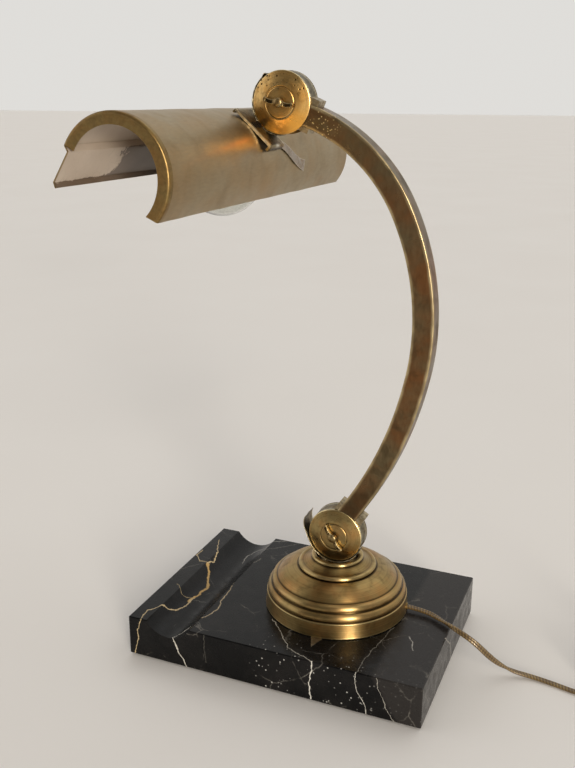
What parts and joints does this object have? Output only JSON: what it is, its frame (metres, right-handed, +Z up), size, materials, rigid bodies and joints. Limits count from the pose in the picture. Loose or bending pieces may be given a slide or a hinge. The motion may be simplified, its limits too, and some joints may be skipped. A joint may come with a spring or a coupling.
{
  "type": "desk lamp",
  "caption": "Desk lamp: half-round sheet brass shade on a curved square-tube arm, wing-screw friction knuckles, turned brass foot, marble slab with a pen groove.",
  "frame": {"origin": "centre of the underside of the slab, on the desk", "axes": "+X along the slab towards the cord exit, +Y away from the front edge and along the shade, +Z up"},
  "size_m": [0.3988, 0.298, 0.4284],
  "materials": {
    "felt": "matt",
    "marble": "polished, veined",
    "sheet_metal": "dull",
    "turned_brass": "turned, aged",
    "steel": "dull",
    "flex": "satin, translucent gold",
    "knuckle_brass": "aged",
    "strip_brass": "dull, aged",
    "cap_brass": "polished, pitted",
    "plug_plastic": "moulded",
    "pin_metal": "bright",
    "arm_brass": "aged brown",
    "saddle_brass": "dull",
    "shade_brass": "dull, white paint inside",
    "porcelain": "glazed",
    "bulb_metal": "satin",
    "bulb_glass": "clear",
    "bulb_stem": "clear",
    "wing_brass": "worn"
  },
  "bodies": {
    "base": {"base_felt": "felt", "marble_slab": "marble", "foot_packing": "sheet_metal", "base_dome": "turned_brass", "foot_stem": "steel", "foot_washer": "steel", "foot_nut": "steel", "cord_bush": "turned_brass", "flex_in_foot": "flex", "lower_yoke": "knuckle_brass", "lower_cradle": "strip_brass", "lower_cap_front": "cap_brass", "lower_cap_back": "cap_brass", "lower_bolt": "steel", "cord_tube": "flex", "cord_coil": "flex", "plug_body": "plug_plastic", "plug_pins": "pin_metal"},
    "arm": {"arm_tube": "arm_brass", "flex_in_arm": "flex", "lower_band": "strip_brass", "lower_fork": "knuckle_brass", "lower_saddle": "saddle_brass", "upper_band": "strip_brass", "upper_fork": "knuckle_brass", "upper_saddle": "saddle_brass", "upper_cap_front": "cap_brass", "upper_cap_back": "cap_brass", "upper_bolt": "steel"},
    "shade": {"upper_yoke": "knuckle_brass", "shade_bracket": "strip_brass", "shade_leaf": "sheet_metal", "bracket_screws": "steel", "shade_shell": "shade_brass", "holder_shell": "knuckle_brass", "holder_insulator": "porcelain", "holder_ring": "knuckle_brass", "holder_nipple": "steel", "holder_bracket": "strip_brass", "bulb_cap": "bulb_metal", "bulb_glass": "bulb_glass", "bulb_mount": "bulb_stem", "flex_in_shade": "flex"},
    "lower_wing": {"lower_wing_screw": "wing_brass"},
    "upper_wing": {"upper_wing_screw": "wing_brass"}
  },
  "joints": [
    {"name": "lower_tilt", "type": "hinge", "parent": "base", "child": "arm", "pos_m": [0.0235, 0.0023, 0.0935], "axis": [0, 1, 0], "range_deg": [-50, 45]},
    {"name": "upper_tilt", "type": "hinge", "parent": "arm", "child": "shade", "pos_m": [-0.021, 0.0023, 0.4074], "axis": [0, 1, 0], "range_deg": [-38, 70]},
    {"name": "lower_wing_turn", "type": "hinge", "parent": "base", "child": "lower_wing", "pos_m": [0.0235, 0.0023, 0.0935], "axis": [0, 1, 0], "range_deg": [-360, 360]},
    {"name": "upper_wing_turn", "type": "hinge", "parent": "arm", "child": "upper_wing", "pos_m": [-0.021, 0.0023, 0.4074], "axis": [0, 1, 0], "range_deg": [-360, 360]}
  ]
}
